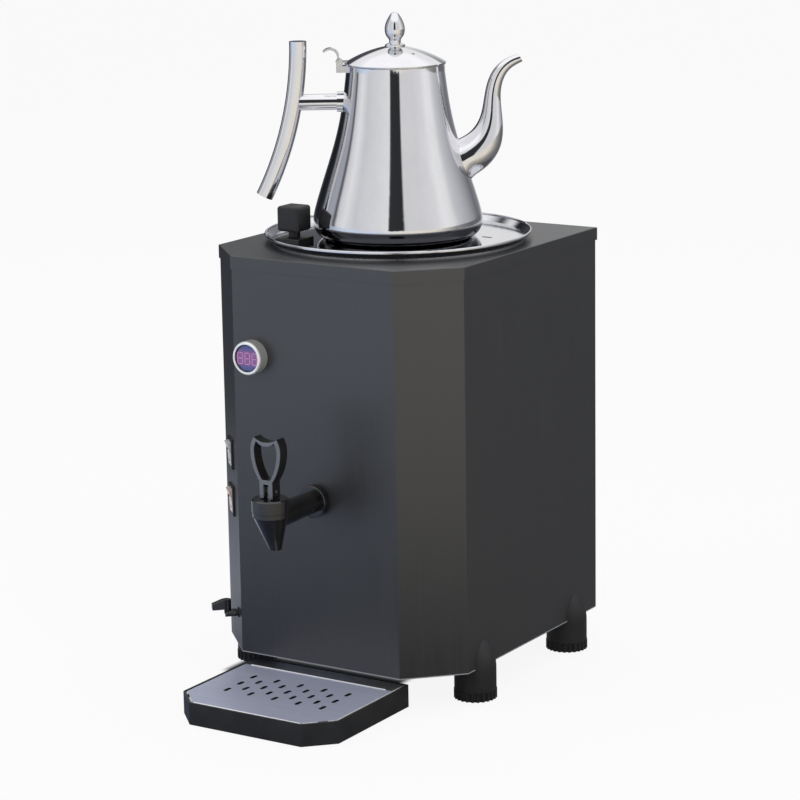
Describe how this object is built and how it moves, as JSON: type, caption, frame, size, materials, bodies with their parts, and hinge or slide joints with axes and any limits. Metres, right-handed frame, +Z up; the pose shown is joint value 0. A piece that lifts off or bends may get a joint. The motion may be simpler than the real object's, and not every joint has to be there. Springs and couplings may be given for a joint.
{
  "type": "hot water urn",
  "caption": "Free-standing electric hot water urn with a lever tap, a drip tray and a teapot standing on its round boiler lid.",
  "frame": {"origin": "on the table, under the middle of the whole object's outline (tray front to gland end, foot to foot)", "axes": "+Z up, +Y from the front panel to the rear panel, +X to the right seen from the front"},
  "size_m": [0.2838, 0.427, 0.6163],
  "materials": {
    "case_black": "satin with a faint upright grain",
    "cover_black": "satin",
    "zinc_sheet": "zinc plated",
    "dark_screw": "blackened",
    "zinc_screw": "zinc plated",
    "foot_plastic": "fine moulded grain",
    "ring_plastic": "matte",
    "tank_steel": "satin",
    "insulation": "felted wool",
    "dish_steel": "polished",
    "knob_plastic": "satin",
    "element_steel": "heat tinted",
    "thermostat_can": "moulded",
    "terminal_plastic": "moulded",
    "gland_plastic": "moulded",
    "wire_sleeve": "silicone sleeve",
    "bezel_aluminium": "satin",
    "gauge_glass": "clear",
    "gauge_display": "dark violet face with red digits",
    "tap_plastic": "gloss",
    "stem_steel": "bright",
    "silicone": "matte",
    "switch_housing": "gloss",
    "upper_rocker": "gloss",
    "lower_rocker": "clear amber",
    "pot_steel": "mirror polished",
    "tray_plastic": "satin",
    "grate_steel": "polished"
  },
  "bodies": {
    "case": {"body_shell": "case_black", "top_cover": "cover_black", "rear_panel": "case_black", "base_plate": "zinc_sheet", "panel_screws": "dark_screw", "front_left_foot": "foot_plastic", "front_right_foot": "foot_plastic", "rear_left_foot": "foot_plastic", "rear_right_foot": "foot_plastic", "foot_screws": "zinc_screw", "boiler_tank": "tank_steel", "insulation_jacket": "insulation", "tank_brackets": "zinc_sheet", "heating_element": "element_steel", "thermostat": "thermostat_can", "safety_cutout": "thermostat_can", "terminal_block": "terminal_plastic", "cable_gland": "gland_plastic", "cable_gland_nut": "gland_plastic", "wiring": "wire_sleeve", "thermometer_bezel": "bezel_aluminium", "thermometer_lens": "gauge_glass", "thermometer_display": "gauge_display", "thermometer_nut": "gland_plastic", "thermometer_probe": "tank_steel", "tap_body": "tap_plastic", "tap_bonnet": "tap_plastic", "tap_spring": "stem_steel", "tap_collar": "tap_plastic", "tap_back_nut": "gland_plastic", "outlet_pipe": "tank_steel", "upper_switch_housing": "switch_housing", "lower_switch_housing": "switch_housing", "drain_valve": "tap_plastic", "drain_hose": "silicone"},
    "front_left_levelling_ring": {"front_left_levelling_ring": "ring_plastic"},
    "front_right_levelling_ring": {"front_right_levelling_ring": "ring_plastic"},
    "rear_left_levelling_ring": {"rear_left_levelling_ring": "ring_plastic"},
    "rear_right_levelling_ring": {"rear_right_levelling_ring": "ring_plastic"},
    "boiler_lid": {"boiler_lid": "dish_steel", "lid_knob": "knob_plastic", "lid_knob_screw": "zinc_screw"},
    "teapot": {"teapot_body": "pot_steel", "teapot_spout": "pot_steel", "teapot_handle": "pot_steel", "teapot_hinge_bracket": "pot_steel", "teapot_hinge_pin": "pot_steel"},
    "teapot_lid": {"teapot_lid": "pot_steel", "teapot_lid_knob": "pot_steel", "teapot_thumb_lever": "pot_steel"},
    "tap_stem": {"tap_stem": "stem_steel", "tap_pin": "stem_steel", "tap_seat_cup": "silicone"},
    "tap_lever": {"tap_lever": "tap_plastic"},
    "upper_rocker": {"upper_switch_rocker": "upper_rocker"},
    "lower_rocker": {"lower_switch_rocker": "lower_rocker"},
    "drain_lever": {"drain_lever": "tap_plastic"},
    "drip_tray": {"drip_tray": "tray_plastic"},
    "drip_grate": {"drip_grate": "grate_steel"}
  },
  "joints": [
    {"name": "front_left_level", "type": "slide", "parent": "case", "child": "front_left_levelling_ring", "axis": [0, 0, -1], "range_m": [0, 0.008]},
    {"name": "front_right_level", "type": "slide", "parent": "case", "child": "front_right_levelling_ring", "axis": [0, 0, -1], "range_m": [0, 0.008]},
    {"name": "rear_left_level", "type": "slide", "parent": "case", "child": "rear_left_levelling_ring", "axis": [0, 0, -1], "range_m": [0, 0.008]},
    {"name": "rear_right_level", "type": "slide", "parent": "case", "child": "rear_right_levelling_ring", "axis": [0, 0, -1], "range_m": [0, 0.008]},
    {"name": "boiler_lid_lift", "type": "slide", "parent": "case", "child": "boiler_lid", "axis": [0, 0, 1], "range_m": [0, 0.12]},
    {"name": "teapot_lift", "type": "slide", "parent": "boiler_lid", "child": "teapot", "axis": [0, 0, 1], "range_m": [0, 0.15]},
    {"name": "teapot_lid_hinge", "type": "hinge", "parent": "teapot", "child": "teapot_lid", "pos_m": [-0.04344, 0.02583, 0.5715], "axis": [0.5373, -0.8434, 0], "range_deg": [0, 75]},
    {"name": "tap_stem_lift", "type": "slide", "parent": "case", "child": "tap_stem", "axis": [0, 0, 1], "range_m": [0, 0.0034], "stiffness_N_per_m": 400, "springref_m": -0.004, "deforming": ["tap_spring"]},
    {"name": "tap_lever_tilt", "type": "hinge", "parent": "tap_stem", "child": "tap_lever", "pos_m": [0, -0.1645, 0.213], "axis": [1, 0, 0], "range_deg": [0, 50]},
    {"name": "upper_rocker_rock", "type": "hinge", "parent": "case", "child": "upper_rocker", "pos_m": [-0.10809, -0.06859, 0.215], "axis": [-0.7071, 0.7071, 0], "range_deg": [0, 18]},
    {"name": "lower_rocker_rock", "type": "hinge", "parent": "case", "child": "lower_rocker", "pos_m": [-0.10809, -0.06859, 0.17], "axis": [-0.7071, 0.7071, 0], "range_deg": [0, 18]},
    {"name": "drain_lever_turn", "type": "hinge", "parent": "case", "child": "drain_lever", "pos_m": [-0.10738, -0.08768, 0.07], "axis": [0, 0, -1], "range_deg": [0, 90]},
    {"name": "drip_tray_slide", "type": "slide", "parent": "case", "child": "drip_tray", "axis": [0, -1, 0], "range_m": [0, 0.15]},
    {"name": "drip_grate_lift", "type": "slide", "parent": "drip_tray", "child": "drip_grate", "axis": [0, 0, 1], "range_m": [0, 0.008]}
  ],
  "couplings": [
    {"joint": "tap_lever_tilt", "follows": "tap_stem_lift", "rad_per_m": 250}
  ]
}
